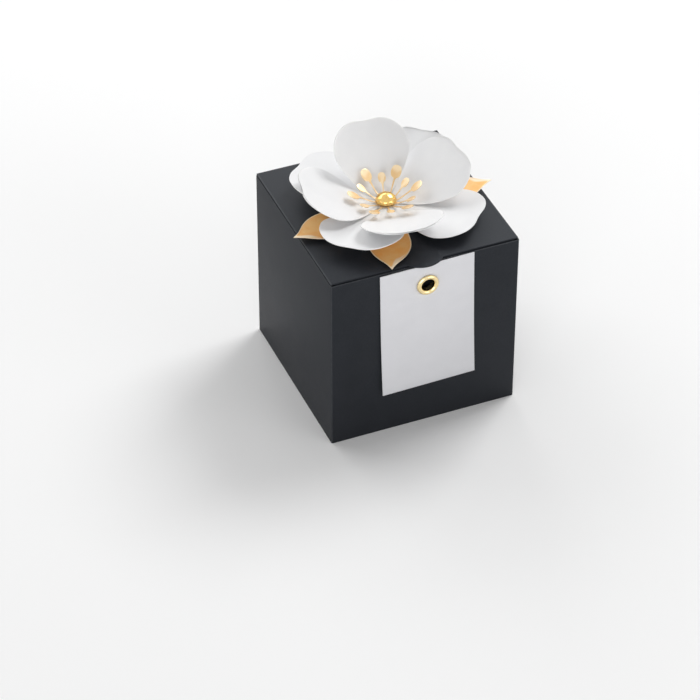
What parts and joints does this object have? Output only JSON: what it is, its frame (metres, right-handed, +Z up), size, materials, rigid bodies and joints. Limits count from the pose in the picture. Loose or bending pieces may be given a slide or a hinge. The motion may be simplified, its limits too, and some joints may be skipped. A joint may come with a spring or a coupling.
{
  "type": "favor box",
  "caption": "Small cube card carton with a tuck-in lid and a snap-lock bottom, a tag hanging from an eyelet and a layered paper flower pinned to the lid by a domed brad",
  "frame": {"origin": "middle of the footprint, its thumb tab included, on the surface that the box stands on; the square carton's own axis is 1.4 mm behind it, at y = 0.0014", "axes": "+Z up; -Y is the front, where the tag hangs; +X is to the right seen from the front; the lid's crease runs along X at the back"},
  "size_m": [0.0866, 0.0828, 0.1035],
  "materials": {
    "charcoal_card": "matt uncoated card, charcoal on both faces",
    "pearl_paper": "smooth heavy paper with a faint pearl sheen",
    "tag_card": "smooth matt white card",
    "gold_foil": "paper faced with satin gold foil",
    "polished_gold": "polished brass-plated hardware"
  },
  "bodies": {
    "carton": {"front_wall": "charcoal_card", "left_wall": "charcoal_card", "back_wall": "charcoal_card", "right_wall": "charcoal_card", "glue_flap": "charcoal_card", "bottom_tongue_flap": "charcoal_card", "bottom_side_flap_right": "charcoal_card", "bottom_side_flap_left": "charcoal_card", "bottom_notch_flap": "charcoal_card", "eyelet": "polished_gold"},
    "lid": {"lid_panel": "charcoal_card", "brad_cap": "polished_gold", "brad_legs": "polished_gold"},
    "tuck_in_flap": {"tuck_flap": "charcoal_card"},
    "dust_flap_left_body": {"dust_flap_left": "charcoal_card"},
    "dust_flap_right_body": {"dust_flap_right": "charcoal_card"},
    "hanging_tag": {"tag": "tag_card"},
    "flower": {"gold_leaves": "gold_foil", "lower_petals": "pearl_paper", "upper_petals": "pearl_paper", "stamen_ring": "gold_foil"}
  },
  "joints": [
    {"name": "lid_hinge", "type": "hinge", "parent": "carton", "child": "lid", "pos_m": [0, 0.0414, 0.07935], "axis": [-1, 0, 0], "range_deg": [0, 110]},
    {"name": "tuck_flap_crease", "type": "hinge", "parent": "lid", "child": "tuck_in_flap", "pos_m": [0, -0.0378, 0.07935], "axis": [-1, 0, 0], "range_deg": [0, 22.5]},
    {"name": "dust_flap_left_crease", "type": "hinge", "parent": "carton", "child": "dust_flap_left_body", "pos_m": [-0.03935, 0.0014, 0.0787], "axis": [0, 1, 0], "range_deg": [0, 85]},
    {"name": "dust_flap_right_crease", "type": "hinge", "parent": "carton", "child": "dust_flap_right_body", "pos_m": [0.03935, 0.0014, 0.0787], "axis": [0, -1, 0], "range_deg": [0, 85]},
    {"name": "tag_swing", "type": "hinge", "parent": "carton", "child": "hanging_tag", "pos_m": [0.0004, -0.039, 0.0694], "axis": [0, 1, 0], "range_deg": [-2.9, 5.1]},
    {"name": "flower_turn", "type": "hinge", "parent": "lid", "child": "flower", "pos_m": [0, 0.0014, 0.0806], "axis": [0, 0, 1], "continuous": true}
  ],
  "couplings": [
    {"joint": "tuck_flap_crease", "follows": "lid_hinge", "ratio": 0.2}
  ]
}
